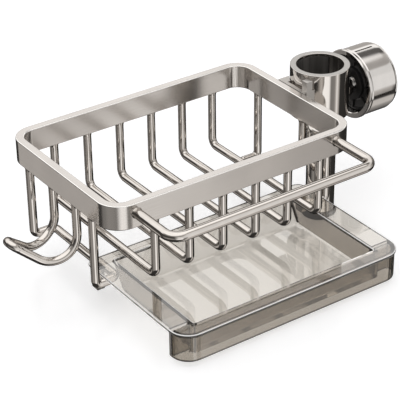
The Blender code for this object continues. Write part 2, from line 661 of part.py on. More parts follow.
def make_clamp_screw(pocket_x, boss_end):
    """The shoe, its pad, the screw and the knob, drawn back against the ring's pocket."""
    shoe_high = pocket_x - SEAT_GAP
    shoe_low = shoe_high - SHOE_THICKNESS
    half_width = SHOE_WIDTH / 2
    half_height = SHOE_HEIGHT / 2
    shoe = block(
        "clamp_shoe", (shoe_low, -half_width, Z_KNOB - half_height),
        (shoe_high, half_width, Z_KNOB + half_height))
    shoe_hole = rod(
        "shoe_hole", (0.0, 0.0, Z_KNOB), (RING_RADIUS, 0.0, Z_KNOB), RIVET_RADIUS + SEAT_GAP, 32)
    boolean(shoe, finish_cutter(shoe_hole))
    finish_part(shoe, ZINC)

    pad_high = shoe_low - SEAT_GAP
    pad = block(
        "shoe_pad", (pad_high - PAD_THICKNESS, -half_width, Z_KNOB - half_height),
        (pad_high, half_width, Z_KNOB + half_height))
    pad_hole = rod("pad_hole", (0.0, 0.0, Z_KNOB), (RING_RADIUS, 0.0, Z_KNOB), RIVET_HEAD + SEAT_GAP, 32)
    boolean(pad, finish_cutter(pad_hole))
    finish_part(pad, RUBBER)

    knob_low = RING_RADIUS + CLAMP_TRAVEL + SLIDE_PLAY
    knob_high = knob_low + KNOB_LENGTH
    cap_low = knob_high - KNOB_CAP
    core_high = cap_low - SEAT_GAP
    nut_low = core_high - NUT_HEIGHT
    screw_end = core_high - SEAT_GAP
    rivet_back = shoe_high + SEAT_GAP
    rivet_front = pad_high - RIVET_HEAD_HEIGHT
    screw = turned("clamp_screw", [
        (0.0, screw_end), (SCREW_RADIUS, screw_end), (SCREW_RADIUS, rivet_back),
        (RIVET_RADIUS, rivet_back), (RIVET_RADIUS, pad_high), (RIVET_HEAD, pad_high),
        (RIVET_HEAD, rivet_front), (0.0, rivet_front)], steps=32, closed=False)
    finish_part(point_along_x(screw, (0.0, 0.0, Z_KNOB)), ZINC)

    lip = KNOB_RADIUS + KNOB_LIP
    inside = KNOB_RADIUS - KNOB_WALL
    bead = 2.2 * KNOB_LIP
    shell = turned("knob_shell", [
        (KNOB_RADIUS - KNOB_LIP, core_high), (KNOB_RADIUS, core_high - 2 * KNOB_LIP),
        (KNOB_RADIUS, knob_low + 2.5 * bead), (KNOB_RADIUS - KNOB_LIP / 2, knob_low + 2 * bead),
        (lip - KNOB_LIP / 2, knob_low + 1.5 * bead), (lip, knob_low + bead),
        (lip, knob_low + bead / 2), (lip - KNOB_LIP, knob_low),
        (inside, knob_low), (inside, core_high)], steps=72)
    slots = bpy.data.meshes.new("knob_slots")
    cut = bmesh.new()
    slot_middle = knob_low + KNOB_SLOT_START + KNOB_SLOT_LENGTH / 2
    for number in range(KNOB_SLOTS):
        turn = Matrix.Rotation(KNOB_SLOT_TURN + math.tau * number / KNOB_SLOTS, 4, "Z")
        depth = 2 * KNOB_SLOT_DEPTH
        size = Matrix.Diagonal((depth, KNOB_SLOT_WIDTH, KNOB_SLOT_LENGTH, 1.0))
        place = Matrix.Translation((KNOB_RADIUS, 0.0, slot_middle))
        bmesh.ops.create_cube(cut, size=1.0, matrix=turn @ place @ size)
    cut.to_mesh(slots)
    cut.free()
    slot_cutter = point_along_x(bpy.data.objects.new("knob_slots", slots), (0.0, 0.0, Z_KNOB))
    boolean(shell, finish_cutter(slot_cutter))
    finish_part(point_along_x(shell, (0.0, 0.0, Z_KNOB)), CHROME)

    core_radius = inside - SEAT_GAP
    core_low = knob_low + KNOB_RECESS
    hub_low = boss_end + CLAMP_TRAVEL + SLIDE_PLAY
    hole = SCREW_RADIUS + SEAT_GAP
    nut_pocket = hexagon_radius(NUT_ACROSS_FLATS) + SEAT_GAP
    core = turned("knob_core", [
        (core_radius, core_high), (core_radius, core_low), (HUB_RADIUS, core_low),
        (HUB_RADIUS, hub_low), (hole, hub_low), (hole, nut_low - SEAT_GAP),
        (nut_pocket, nut_low - SEAT_GAP), (nut_pocket, core_high)], steps=48)
    finish_part(point_along_x(core, (0.0, 0.0, Z_KNOB)), BLACK)

    nut = rod(
        "knob_nut", (nut_low, 0.0, Z_KNOB), (screw_end, 0.0, Z_KNOB), hexagon_radius(NUT_ACROSS_FLATS), 6)
    nut_hole = rod("nut_hole", (0.0, 0.0, Z_KNOB), (knob_high, 0.0, Z_KNOB), hole, 32)
    boolean(nut, finish_cutter(nut_hole))
    finish_part(nut, ZINC)

    cap_radius = KNOB_RADIUS - KNOB_LIP
    cap = turned("knob_cap", [
        (0.0, knob_high), (cap_radius * 0.75, knob_high), (cap_radius * 0.95, knob_high - KNOB_CAP / 4),
        (cap_radius, knob_high - KNOB_CAP / 2), (cap_radius, cap_low), (0.0, cap_low)],
        steps=48, closed=False)
    finish_part(point_along_x(cap, (0.0, 0.0, Z_KNOB)), CHROME)


clear_scene()
PARTS = collection("faucet_drainer_basket")
CUTTERS = collection("cutters")
make_rim()
make_basket_wires()
make_rail_wires()
make_towel_bar()
make_hook()
make_post()
make_tray()
make_bracket()
POCKET_X, BOSS_END = make_ring()
make_clamp_screw(POCKET_X, BOSS_END)
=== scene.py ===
"""Looks of the faucet drainer basket: brushed rim, polished wires and clamp, clear smoke tray."""

import math

import bmesh
import bpy
from mathutils import Matrix, Vector


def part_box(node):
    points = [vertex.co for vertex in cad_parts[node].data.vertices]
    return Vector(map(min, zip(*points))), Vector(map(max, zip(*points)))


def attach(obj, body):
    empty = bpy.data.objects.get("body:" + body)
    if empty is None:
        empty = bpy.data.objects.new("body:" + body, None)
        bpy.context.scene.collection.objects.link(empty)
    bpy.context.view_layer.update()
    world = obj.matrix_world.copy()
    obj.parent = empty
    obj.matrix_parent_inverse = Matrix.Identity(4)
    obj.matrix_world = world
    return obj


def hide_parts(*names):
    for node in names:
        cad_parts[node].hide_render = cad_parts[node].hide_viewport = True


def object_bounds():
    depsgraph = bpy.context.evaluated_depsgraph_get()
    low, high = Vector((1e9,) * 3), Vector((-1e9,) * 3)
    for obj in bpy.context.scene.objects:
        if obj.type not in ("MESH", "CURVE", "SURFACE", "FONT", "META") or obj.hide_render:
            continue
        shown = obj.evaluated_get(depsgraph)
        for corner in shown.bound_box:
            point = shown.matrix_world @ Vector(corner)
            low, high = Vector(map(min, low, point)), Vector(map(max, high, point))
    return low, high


MM = 0.001
SEAT_GAP = 0.3 * MM

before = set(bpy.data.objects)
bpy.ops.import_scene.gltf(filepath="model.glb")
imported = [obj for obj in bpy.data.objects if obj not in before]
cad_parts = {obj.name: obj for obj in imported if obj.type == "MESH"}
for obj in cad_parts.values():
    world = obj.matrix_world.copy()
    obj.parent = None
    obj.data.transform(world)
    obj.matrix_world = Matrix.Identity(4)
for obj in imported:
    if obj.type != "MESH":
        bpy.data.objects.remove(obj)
CAD_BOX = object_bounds()


def box(node):
    """A node's lowest and highest corners at rest."""
    low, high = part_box(node)
    return Vector(low), Vector(high)


# Materials

# Noise lies mostly between these values.
NOISE_LOW = 0.3
NOISE_HIGH = 0.7


def mixed(tree, factor, first, second):
    """Colour that runs from the first to the second with the factor; each is a socket or a colour."""
    node = tree.nodes.new("ShaderNodeMix")
    node.data_type = "RGBA"
    factor_socket, first_socket, second_socket = (node.inputs[number] for number in (0, 6, 7))
    tree.links.new(factor, factor_socket)
    for socket, colour in ((first_socket, first), (second_socket, second)):
        if isinstance(colour, tuple):
            socket.default_value = (*colour, 1.0)
        else:
            tree.links.new(colour, socket)
    return node.outputs[2]


class Material:
    """A Principled material with helpers for noise in its colour, roughness and surface."""

    def __init__(self, name, colour, metallic, roughness):
        self.made = bpy.data.materials.new(name)
        self.made.use_nodes = True
        self.nodes = self.made.node_tree.nodes
        self.links = self.made.node_tree.links
        self.shader = self.nodes["Principled BSDF"]
        self.set("Base Color", (*colour, 1.0))
        self.set("Metallic", metallic)
        self.set("Roughness", roughness)
        self.colour = colour

    def set(self, socket, value):
        self.shader.inputs[socket].default_value = value

    def coordinates(self, source="Object", stretch=(1.0, 1.0, 1.0)):
        place = self.nodes.new("ShaderNodeTexCoord")
        mapping = self.nodes.new("ShaderNodeMapping")
        mapping.inputs["Scale"].default_value = stretch
        self.links.new(place.outputs[source], mapping.inputs["Vector"])
        return mapping.outputs["Vector"]

    def noise(self, vector, scale, detail=2.0, rough=0.5):
        node = self.nodes.new("ShaderNodeTexNoise")
        node.inputs["Scale"].default_value = scale
        node.inputs["Detail"].default_value = detail
        node.inputs["Roughness"].default_value = rough
        self.links.new(vector, node.inputs["Vector"])
        return node.outputs["Fac"]

    def along(self, axis):
        """The object's own X, Y or Z."""
        place = self.nodes.new("ShaderNodeSeparateXYZ")
        self.links.new(self.coordinates(), place.inputs[0])
        return place.outputs[axis]

    def spread(self, factor, low, high, start=NOISE_LOW, end=NOISE_HIGH):
        node = self.nodes.new("ShaderNodeMapRange")
        for socket, value in (("From Min", start), ("From Max", end), ("To Min", low), ("To Max", high)):
            node.inputs[socket].default_value = value
        self.links.new(factor, node.inputs["Value"])
        return node.outputs["Result"]

    def paint(self, colour):
        self.links.new(colour, self.shader.inputs["Base Color"])

    def tint(self, factor, dark, light):
        """Colour between a darker and a lighter share of the material's own."""
        low, high = (tuple(channel * share for channel in self.colour) for share in (dark, light))
        self.paint(self.ramp(factor, (NOISE_LOW, low), (NOISE_HIGH, high)))

    def ramp(self, factor, *stops):
        """Colour that runs from one stop to the next; each stop is a position and a colour."""
        node = self.nodes.new("ShaderNodeValToRGB")
        for element, (position, colour) in zip(node.color_ramp.elements, stops):
            element.position = position
            element.color = (*colour, 1.0)
        self.links.new(factor, node.inputs["Fac"])
        return node.outputs["Color"]

    def brighten(self, attribute, colour):
        """Blends the colour so far towards another one where the mesh attribute says."""
        so_far = self.shader.inputs["Base Color"].links[0].from_socket
        marks = self.nodes.new("ShaderNodeAttribute")
        marks.attribute_name = attribute
        self.paint(mixed(self.made.node_tree, marks.outputs["Fac"], so_far, colour))

    def vary_roughness(self, factor, low, high):
        self.links.new(self.spread(factor, low, high), self.shader.inputs["Roughness"])

    def bump(self, height, strength, distance):
        node = self.nodes.new("ShaderNodeBump")
        node.inputs["Strength"].default_value = strength
        node.inputs["Distance"].default_value = distance
        self.links.new(height, node.inputs["Height"])
        self.links.new(node.outputs["Normal"], self.shader.inputs["Normal"])


def brushed_steel():
    """Fine lines along the band, clouded a little, with a painted highlight along its upper edges."""
    steel = Material("rim_brushed_steel", (0.68, 0.653, 0.627), metallic=1.0, roughness=0.17)
    along = steel.coordinates("UV", stretch=(18.0, 2200.0, 1.0))
    lines = steel.noise(along, scale=1.0, detail=4.0, rough=0.6)
    clouds = steel.noise(steel.coordinates(), scale=28.0)
    steel.tint(clouds, dark=0.93, light=1.05)
    # Painted highlight: the band's marked upper edges are lightened to near white.
    steel.brighten("polished", (0.97, 0.955, 0.935))
    steel.vary_roughness(lines, low=0.14, high=0.20)
    steel.bump(lines, strength=0.04, distance=0.03 * MM)
    return steel.made


def polished_wire():
    """Electropolished wire: bright, with drawing lines along it and soft smudges, and a dark edge tint
    that paints shade along its outlines.
    """
    steel = Material("wire_polished_steel", (0.74, 0.705, 0.67), metallic=1.0, roughness=0.05)
    along = steel.coordinates("UV", stretch=(30.0, 900.0, 1.0))
    smudges = steel.noise(steel.coordinates(), scale=120.0, detail=3.0)
    steel.tint(smudges, dark=0.94, light=1.03)
    # Painted shade: the dark edge tint darkens the wire towards its outlines.
    steel.set("Specular Tint", (0.25, 0.24, 0.23, 1.0))
    steel.vary_roughness(smudges, low=0.03, high=0.07)
    steel.bump(steel.noise(along, scale=1.0), strength=0.05, distance=0.02 * MM)
    return steel.made


def chrome(name, colour, low, high):
    """Plated metal with wiping marks."""
    plate = Material(name, colour, metallic=1.0, roughness=(low + high) / 2)
    marks = plate.noise(plate.coordinates(stretch=(1.0, 1.0, 0.35)), scale=90.0, detail=4.0, rough=0.6)
    plate.tint(marks, dark=0.95, light=1.02)
    plate.vary_roughness(marks, low, high)
    plate.bump(marks, strength=0.03, distance=0.05 * MM)
    return plate.made


def cast_zinc():
    """Satin cast metal with a fine grain."""
    zinc = Material("bracket_satin_zinc", (0.62, 0.60, 0.575), metallic=1.0, roughness=0.36)
    grain = zinc.noise(zinc.coordinates(), scale=1400.0, detail=3.0)
    clouds = zinc.noise(zinc.coordinates(), scale=70.0)
    zinc.tint(clouds, dark=0.92, light=1.06)
    zinc.vary_roughness(clouds, low=0.30, high=0.42)
    zinc.bump(grain, strength=0.15, distance=0.05 * MM)
    return zinc.made


def turned_metal(name, colour, roughness):
    """Machined metal with tool lines round its axis."""
    metal = Material(name, colour, metallic=1.0, roughness=roughness)
    lines = metal.noise(metal.coordinates("UV", stretch=(2600.0, 20.0, 1.0)), scale=1.0)
    metal.tint(lines, dark=0.9, light=1.05)
    metal.vary_roughness(lines, roughness * 0.8, roughness * 1.25)
    metal.bump(lines, strength=0.1, distance=0.03 * MM)
    return metal.made


def moulded(name, colour, low, high, grain):
    """Plastic or rubber with a moulded grain."""
    plastic = Material(name, colour, metallic=0.0, roughness=(low + high) / 2)
    spots = plastic.noise(plastic.coordinates(), scale=grain, detail=3.0)
    clouds = plastic.noise(plastic.coordinates(), scale=60.0)
    plastic.tint(clouds, dark=0.8, light=1.25)
    plastic.vary_roughness(spots, low, high)
    plastic.bump(spots, strength=0.2, distance=0.08 * MM)
    return plastic.made


def liner_rubber():
    """Glossy dark rubber sleeve with lighter upright streaks painted in as sheen."""
    liner = Material("liner_dark_rubber", (0.062, 0.058, 0.053), metallic=0.0, roughness=0.26)
    streaks = liner.noise(liner.coordinates(stretch=(1.0, 1.0, 0.06)), scale=110.0)
    grain = liner.noise(liner.coordinates(), scale=500.0, detail=3.0)
    # Painted sheen: the lighter streaks stand in for the sheen on the glossy rubber.
    liner.tint(streaks, dark=0.45, light=2.8)
    liner.vary_roughness(streaks, low=0.20, high=0.34)
    liner.bump(grain, strength=0.15, distance=0.06 * MM)
    return liner.made


# The tray's tints: its flat parts, its walls, and its hollow front, which is this deep; in the walls and
# front, painted shade deepens the smoke.
FLAT_SMOKE = (0.68, 0.645, 0.59)
WALL_SMOKE_AND_SHADE = (0.40, 0.355, 0.30)
FRONT_SMOKE_AND_SHADE = (0.45, 0.405, 0.345)
FRONT_DEPTH = 8.0 * MM
FRONT_FADE = 1.5 * MM
# Height of the band in which the tray's edges turn from painted shade to painted highlight.
HIGHLIGHT_BAND = 1.6 * MM


def smoke_clear():
    """Smoke-tinted clear plastic with a hard gloss and faint wiping marks; painted shade deepens the tint
    in its upright walls and in its front.
    """
    clear = Material("tray_smoke_clear", FLAT_SMOKE, metallic=0.0, roughness=0.02)
    clear.set("Transmission Weight", 1.0)
    clear.set("IOR", 1.49)
    clear.set("Coat Weight", 1.0)
    clear.set("Coat IOR", 1.8)
    clear.set("Coat Roughness", 0.02)
    marks = clear.noise(clear.coordinates(), scale=55.0, detail=4.0)
    # Painted shade: upright faces take the darker wall tint.
    surface = clear.nodes.new("ShaderNodeNewGeometry")
    facing = clear.nodes.new("ShaderNodeSeparateXYZ")
    clear.links.new(surface.outputs["Normal"], facing.inputs[0])
    level = clear.nodes.new("ShaderNodeMath")
    level.operation = "ABSOLUTE"
    clear.links.new(facing.outputs["Z"], level.inputs[0])
    rest = clear.ramp(level.outputs[0], (0.25, WALL_SMOKE_AND_SHADE), (0.60, FLAT_SMOKE))
    # Painted shade: the front strip takes the darker front tint.
    front = box("drip_tray")[0].y + FRONT_DEPTH
    reach = clear.spread(clear.along("Y"), low=0.0, high=1.0, start=front, end=front + FRONT_FADE)
    clear.paint(mixed(clear.made.node_tree, reach, FRONT_SMOKE_AND_SHADE, rest))
    clear.vary_roughness(marks, low=0.0, high=0.04)
    return clear.made


def tray_edge_painted_light():
    """The plastic's thin edges: a painted highlight on the upper ones and painted shade on the lower
    ones.
    """
    edge = Material("tray_edges_painted_light", (0.90, 0.89, 0.87), metallic=0.0, roughness=0.2)
    top = box("drip_tray")[1].z
    # Painted highlight on the edges in the top band, painted shade on those below it.
    height = edge.spread(edge.along("Z"), low=0.0, high=1.0, start=top - HIGHLIGHT_BAND, end=top)
    edge.paint(edge.ramp(height, (0.76, (0.05, 0.043, 0.036)), (0.82, (1.0, 0.99, 0.97))))
    spots = edge.noise(edge.coordinates(), scale=300.0)
    edge.vary_roughness(spots, low=0.12, high=0.25)
    return edge.made


RIM_STEEL = brushed_steel()
WIRE_STEEL = polished_wire()
RING_CHROME = chrome("ring_chrome", (0.74, 0.71, 0.68), low=0.05, high=0.10)
# The ring's flat end faces: a darker metal that paints shade on them, with tool lines round the axis.
RING_END_SHADE = turned_metal("ring_end_face_painted_shade", (0.44, 0.43, 0.415), roughness=0.16)
KNOB_CHROME = chrome("knob_chrome", (0.77, 0.75, 0.73), low=0.05, high=0.09)
POST_CHROME = chrome("post_chrome", (0.74, 0.71, 0.675), low=0.05, high=0.10)
ZINC = cast_zinc()
# Painted shade for the floors and deep walls of the knob's slots.
SLOT_PAINTED_SHADE = chrome("knob_slot_painted_shade", (0.10, 0.095, 0.09), low=0.2, high=0.35)
SCREW_STEEL = turned_metal("screw_steel", (0.60, 0.59, 0.57), roughness=0.28)
BRASS = turned_metal("bush_brass", (0.72, 0.55, 0.25), roughness=0.25)
KNOB_BLACK = moulded("knob_black_plastic", (0.016, 0.016, 0.016), low=0.35, high=0.5, grain=900.0)
PLUG_BLACK = moulded("plug_black_plastic", (0.02, 0.02, 0.02), low=0.4, high=0.55, grain=900.0)
RUBBER = moulded("black_rubber", (0.022, 0.021, 0.020), low=0.6, high=0.85, grain=1200.0)
LINER_DARK = liner_rubber()
SMOKE = smoke_clear()
SMOKE_EDGE_LIGHT_AND_SHADE = tray_edge_painted_light()


# Shapes

ROD_SIDES = 28
THREAD_ROWS = 6
THREAD_RUN_OUT = 0.8
LEAST_TURN = math.radians(20.0)
MOST_OF_A_SIDE = 0.45
WELD_MARKS = (0.12, 0.28, 0.48, 0.72, 1.0)
SHARP_ANGLE = 32.0


def piece(name, mesh, material, body, node, angle=SHARP_ANGLE):
    """Puts a mesh in the scene as a piece that rides on a body and stands for a CAD node."""
    mesh.shade_smooth()
    mesh.set_sharp_from_angle(angle=math.radians(angle))
    mesh.materials.append(material)
    item = bpy.data.objects.new(name, mesh)
    bpy.context.scene.collection.objects.link(item)
    even = item.modifiers.new("normals", "WEIGHTED_NORMAL")
    even.keep_sharp = True
    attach(item, body)
    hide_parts(node)
    return item


def add_skin(shape, rings, loop=False):
    """Adds the surface over rings of points, with u along the rows and v round the rings."""
    uv = shape.loops.layers.uv.verify()
    rows = [[shape.verts.new(point) for point in ring] for ring in rings]
    count = len(rings[0])
    along = [0.0]
    for first, second in zip(rings, rings[1:] + rings[:1]):
        along.append(along[-1] + (Vector(second[0]) - Vector(first[0])).length)
    widest = max(rings, key=lambda ring: (Vector(ring[0]) - Vector(ring[count // 2])).length)
    around = [0.0]
    for first, second in zip(widest, widest[1:] + widest[:1]):
        around.append(around[-1] + (Vector(second) - Vector(first)).length)
    last = len(rows) if loop else len(rows) - 1
    for i in range(last):
        below = rows[i]
        above = rows[(i + 1) % len(rows)]
        for j in range(count):
            k = (j + 1) % count
            face = shape.faces.new((below[j], below[k], above[k], above[j]))
            spots = ((i, j), (i, j + 1), (i + 1, j + 1), (i + 1, j))
            for corner, (row, column) in zip(face.loops, spots):
                corner[uv].uv = (along[row], around[column])
    if not loop:
        shape.faces.new(rows[0][::-1])
        shape.faces.new(rows[-1])


def to_mesh(name, shape):
    """Ends a mesh under construction, with its faces looking outwards."""
    bmesh.ops.recalc_face_normals(shape, faces=shape.faces)
    mesh = bpy.data.meshes.new(name)
    shape.to_mesh(mesh)
    shape.free()
    return mesh


def skinned(name, rings, loop=False):
    """A mesh that is one skin over rings of points."""
    shape = bmesh.new()
    add_skin(shape, rings, loop)
    return to_mesh(name, shape)


def skin_piece(name, rings, material, body, node, loop=False, angle=SHARP_ANGLE):
    """A piece that is one skin over rings of points."""
    return piece(name, skinned(name, rings, loop), material, body, node, angle)


def take_in(shape, made):
    """Adds one mesh under construction to another."""
    part = bpy.data.meshes.new("part")
    made.to_mesh(part)
    made.free()
    shape.from_mesh(part)
    bpy.data.meshes.remove(part)


def soften(points, radius, steps=4, closed=True):
    """Rounds the corners of a flat outline."""
    points = [Vector(point) for point in points]
    made = []
    for i, corner in enumerate(points):
        if not closed and i in (0, len(points) - 1):
            made.append(corner)
            continue
        before = points[i - 1] - corner
        after = points[(i + 1) % len(points)] - corner
        turn = math.pi - before.angle(after)
        if turn < LEAST_TURN:
            made.append(corner)
            continue
        side = min(before.length, after.length)
        reach = min(radius * math.tan(turn / 2), side * MOST_OF_A_SIDE)
        first = corner + before.normalized() * reach
        second = corner + after.normalized() * reach
        for step in range(steps + 1):
            t = step / steps
            made.append(first * (1 - t) ** 2 + corner * 2 * t * (1 - t) + second * t ** 2)
    return made


def lathe_z(centre, profile, sides=96):
    """Rings of a shape turned about a vertical axis from (radius, height) points."""
    rings = []
    for radius, height in profile:
        ring = []
        for i in range(sides):
            angle = math.tau * i / sides
            ring.append(Vector((centre[0] + radius * math.cos(angle),
                                centre[1] + radius * math.sin(angle), height)))
        rings.append(ring)
    return rings


def bent_path(corners, radius, steps=12):
    """Points of a wire that runs straight between corners and turns each one on an arc."""
    corners = [Vector(corner) for corner in corners]
    points = [corners[0]]
    for before, corner, after in zip(corners, corners[1:], corners[2:]):
        incoming = (before - corner).normalized()
        outgoing = (after - corner).normalized()
        half = incoming.angle(outgoing) / 2
        back = radius / math.tan(half)
        centre = corner + (incoming + outgoing).normalized() * (radius / math.sin(half))
        start = corner + incoming * back - centre
        axis = start.cross(corner + outgoing * back - centre).normalized()
        for i in range(steps + 1):
            turn = Matrix.Rotation((math.pi - 2 * half) * i / steps, 3, axis)
            points.append(centre + turn @ start)
    points.append(corners[-1])
    return points


def with_weld_points(path, length):
    """Adds points near both ends, where the weld widens the wire."""
    marks = [length * share for share in WELD_MARKS]
    start, after = path[0], path[1]
    end, before = path[-1], path[-2]
    into = (after - start).normalized()
    out = (before - end).normalized()
    return ([start] + [start + into * mark for mark in marks] + path[1:-1]
            + [end + out * mark for mark in reversed(marks)] + [end])


def tube(path, radius, weld, weld_length, weld_axes):
    """Rings round a path; the ends widen into welds, along the given axes alone if there are any."""
    path = with_weld_points(path, weld_length)
    tangents = []
    for i in range(len(path)):
        first = path[max(i - 1, 0)]
        second = path[min(i + 1, len(path) - 1)]
        tangents.append((second - first).normalized())
    upright = abs(tangents[0].z) > 0.9
    guide = Vector((1, 0, 0)) if upright else Vector((0, 0, 1))
    side = tangents[0].cross(guide).normalized()
    travelled = [0.0]
    for first, second in zip(path, path[1:]):
        travelled.append(travelled[-1] + (second - first).length)
    rings = []
    previous = tangents[0]
    for point, tangent, distance in zip(path, tangents, travelled):
        side = previous.rotation_difference(tangent) @ side
        side = (side - tangent * side.dot(tangent)).normalized()
        previous = tangent
        up = tangent.cross(side)
        edge = min(distance, travelled[-1] - distance)
        wider = weld * max(0.0, 1 - edge / weld_length) ** 2
        ring = []
        for i in range(ROD_SIDES):
            angle = math.tau * i / ROD_SIDES
            outward = side * math.cos(angle) + up * math.sin(angle)
            offset = outward * radius
            if weld_axes is None:
                offset += outward * wider
            else:
                for axis in weld_axes:
                    offset += axis * (outward.dot(axis) * wider)
            ring.append(point + offset)
        rings.append(ring)
    return rings


def rounded_rectangle(low, high, radius, steps):
    """Outline points and outward normals of a rectangle with round corners, counter-clockwise."""
    made = []
    corners = ((low[0], low[1], 1, 1, 2), (high[0], low[1], -1, 1, 3),
               (high[0], high[1], -1, -1, 0), (low[0], high[1], 1, -1, 1))
    for x, y, side_x, side_y, turn in corners:
        centre = Vector((x + side_x * radius, y + side_y * radius, 0.0))
        for i in range(steps + 1):
            angle = (turn + i / steps) * math.pi / 2
            normal = Vector((math.cos(angle), math.sin(angle), 0.0))
            made.append((centre + normal * radius, normal))
    return made


def threaded(centre, low, high, radius, pitch, depth):
    """Rings of a rod with a thread cut in it, standing on Z."""
    rows = int((high - low) / pitch * THREAD_ROWS)
    rings = []
    for row in range(rows + 1):
        height = low + (high - low) * row / rows
        fade = min(1.0, (height - low) / pitch, (high - height) / pitch)
        ring = []
        for i in range(ROD_SIDES):
            angle = math.tau * i / ROD_SIDES
            wave = abs(((height / pitch - i / ROD_SIDES) % 1.0) * 2 - 1)
            reach = radius - depth * (wave * fade + (1 - fade) * THREAD_RUN_OUT)
            ring.append(Vector((centre[0] + reach * math.cos(angle),
                                centre[1] + reach * math.sin(angle), height)))
        rings.append(ring)
    return rings


def add_block(shape, low, high, edge):
    """Adds a box with rounded edges."""
    low = Vector(low)
    high = Vector(high)
    made = bmesh.new()
    size = Matrix.Diagonal((*(high - low), 1.0))
    bmesh.ops.create_cube(made, size=1.0, matrix=Matrix.Translation((low + high) / 2) @ size)
    bmesh.ops.bevel(made, geom=made.edges[:], offset=edge, segments=3, profile=0.5, affect="EDGES")
    take_in(shape, made)


# The basket's band and wires

RIM_LOW, RIM_HIGH = box("rim_band")
RIM_WALL = 5.1 * MM
RIM_CORNER = 14.0 * MM
RIM_CORNER_STEPS = 28
RIM_EDGE = 0.7 * MM
RIM_EDGE_STEPS = 5
BASKET_WIRES = 6
WIRE_RADIUS = (box("basket_wire_1")[1].x - box("basket_wire_1")[0].x) / 2
WIRE_BEND = 5.0 * MM
BRACE_BEND_SHARE = 0.98
RAIL_BEND = 3.5 * MM
TOWEL_BEND = 8.0 * MM
TOWEL_BEND_STEPS = 18
TOWEL_WELD = 0.6 * MM
HOOK_STRAIGHT = 33.4 * MM
HOOK_BEND = 14.0 * MM
HOOK_SWEEP = math.radians(130.0)
HOOK_STEPS = 20
HOOK_TIP_RUN = 12.8 * MM
HOOK_TIP_RADIUS = 4.58 * MM
HOOK_TIP_STEPS = 14
WELD = 1.0 * MM
WELD_LENGTH = 2.4 * MM
WELD_SINK = 0.5 * MM
WELD_TOP = RIM_LOW.z + WELD_SINK
X_AXIS = Vector((1, 0, 0))
Y_AXIS = Vector((0, 1, 0))
Z_AXIS = Vector((0, 0, 1))


def make_rim():
    section = soften(
        [(0.0, RIM_LOW.z), (RIM_WALL, RIM_LOW.z), (RIM_WALL, RIM_HIGH.z), (0.0, RIM_HIGH.z)],
        RIM_EDGE, RIM_EDGE_STEPS)
    outline = rounded_rectangle(RIM_LOW, RIM_HIGH, RIM_CORNER, RIM_CORNER_STEPS)
    rings = [[point - normal * depth + Z_AXIS * height for depth, height in section]
             for point, normal in outline]
    mesh = skinned("rim_band_brushed", rings, loop=True)
    # Marks the upper rounded edges, where a painted highlight lightens the band.
    polished = mesh.attributes.new("polished", "FLOAT", "POINT")
    upper_corners = (2, 3)
    for index in range(len(mesh.vertices)):
        corner, step = divmod(index % len(section), RIM_EDGE_STEPS + 1)
        on_edge = corner in upper_corners and 0 < step < RIM_EDGE_STEPS
        polished.data[index].value = 1.0 if on_edge else 0.0
    piece("rim_band_brushed", mesh, RIM_STEEL, "basket", "rim_band")


def make_wire(node, path, radius, weld_axes, weld=WELD):
    rings = tube(path, radius, weld, WELD_LENGTH, weld_axes)
    skin_piece(node + "_welded", rings, WIRE_STEEL, "basket", node, angle=60.0)


def make_basket_wires():
    for number in range(1, BASKET_WIRES + 1):
        node = f"basket_wire_{number}"
        low, high = box(node)
        radius = (high.x - low.x) / 2
        x = (low.x + high.x) / 2
        front = low.y + radius
        rear = high.y - radius
        bottom = low.z + radius
        corners = [(x, front, WELD_TOP), (x, front, bottom), (x, rear, bottom), (x, rear, WELD_TOP)]
        make_wire(node, bent_path(corners, WIRE_BEND), radius, [X_AXIS])


def make_rails():
    radius = WIRE_RADIUS
    for node, outer, inner in (("rail_wire_left", 0, 1), ("rail_wire_right", 1, 0)):
        corner = box(node)
        sign = 1 if outer == 0 else -1
        leg = corner[outer].x + sign * radius
        rail = corner[inner].x - sign * radius
        front = corner[0].y + radius
        rear = corner[1].y - radius
        bottom = corner[0].z + radius
        corners = [(leg, front, WELD_TOP), (leg, front, bottom), (rail, front, bottom),
                   (rail, rear, bottom), (leg, rear, bottom), (leg, rear, WELD_TOP)]
        make_wire(node, bent_path(corners, RAIL_BEND), radius, [Y_AXIS])


def make_towel_bar():
    low, high = box("towel_bar")
    radius = (high.z - low.z) / 2
    height = (high.z + low.z) / 2
    start = RIM_LOW.y + WELD_SINK
    left = low.x + radius
    right = high.x - radius
    out = low.y + radius
    corners = [(left, start, height), (left, out, height), (right, out, height), (right, start, height)]
    make_wire("towel_bar", bent_path(corners, TOWEL_BEND, TOWEL_BEND_STEPS), radius, None, TOWEL_WELD)


def hook_arm(side, x, middle, low_z, spread):
    """One arm of the hook from its weld to the start of its tip; side is -1 in front, 1 behind."""
    straight_share = 0.25
    draw_in = 1.35
    bend = HOOK_BEND * HOOK_SWEEP
    points = [Vector((x, middle + side * spread / 2, WELD_TOP))]
    for i in range(2 * HOOK_STEPS + 1):
        if i <= HOOK_STEPS:
            turn = HOOK_SWEEP * i / HOOK_STEPS
            travelled = bend * i / HOOK_STEPS
            along = 0.0
        else:
            turn = HOOK_SWEEP
            along = HOOK_TIP_RUN * (i - HOOK_STEPS) / HOOK_STEPS
            travelled = bend + along
        share = travelled / (bend + HOOK_TIP_RUN)
        ease = max(0.0, share - straight_share) / (1 - straight_share)
        half = HOOK_TIP_RADIUS + (spread / 2 - HOOK_TIP_RADIUS) * (1 - ease ** draw_in)
        points.append(Vector((
            x - HOOK_BEND * (1 - math.cos(turn)) - along * math.sin(turn),
            middle + side * half,
            low_z - HOOK_BEND * math.sin(turn) - along * math.cos(turn))))
    return points


